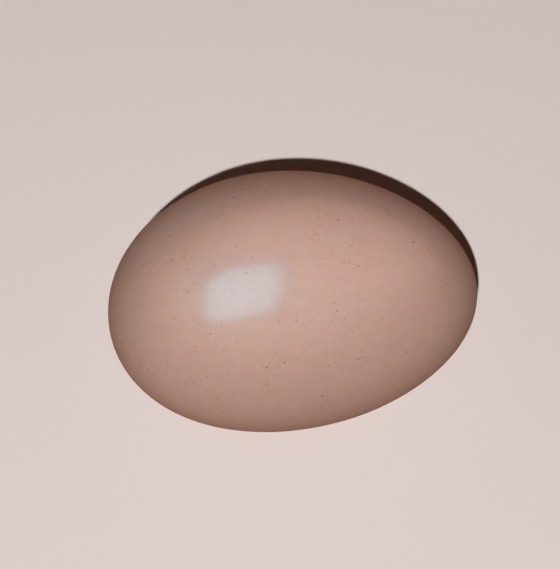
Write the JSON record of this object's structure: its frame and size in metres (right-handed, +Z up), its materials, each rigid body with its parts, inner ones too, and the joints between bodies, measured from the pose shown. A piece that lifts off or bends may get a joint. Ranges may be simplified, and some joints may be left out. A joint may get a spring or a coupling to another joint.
{
  "type": "quail egg",
  "caption": "Whole quail egg in its shell, lying on its side on a small flat spot, pinkish brown with fine freckles.",
  "frame": {"origin": "middle of the small flat spot on the belly that the egg rests on", "axes": "+Z up from the resting surface, +X along the egg's length towards its pointed end, which dips about 3 degrees below level"},
  "size_m": [0.0349, 0.0248, 0.0246],
  "materials": {
    "shell": "satin"
  },
  "bodies": {
    "root": {"egg": "shell"}
  },
  "joints": []
}
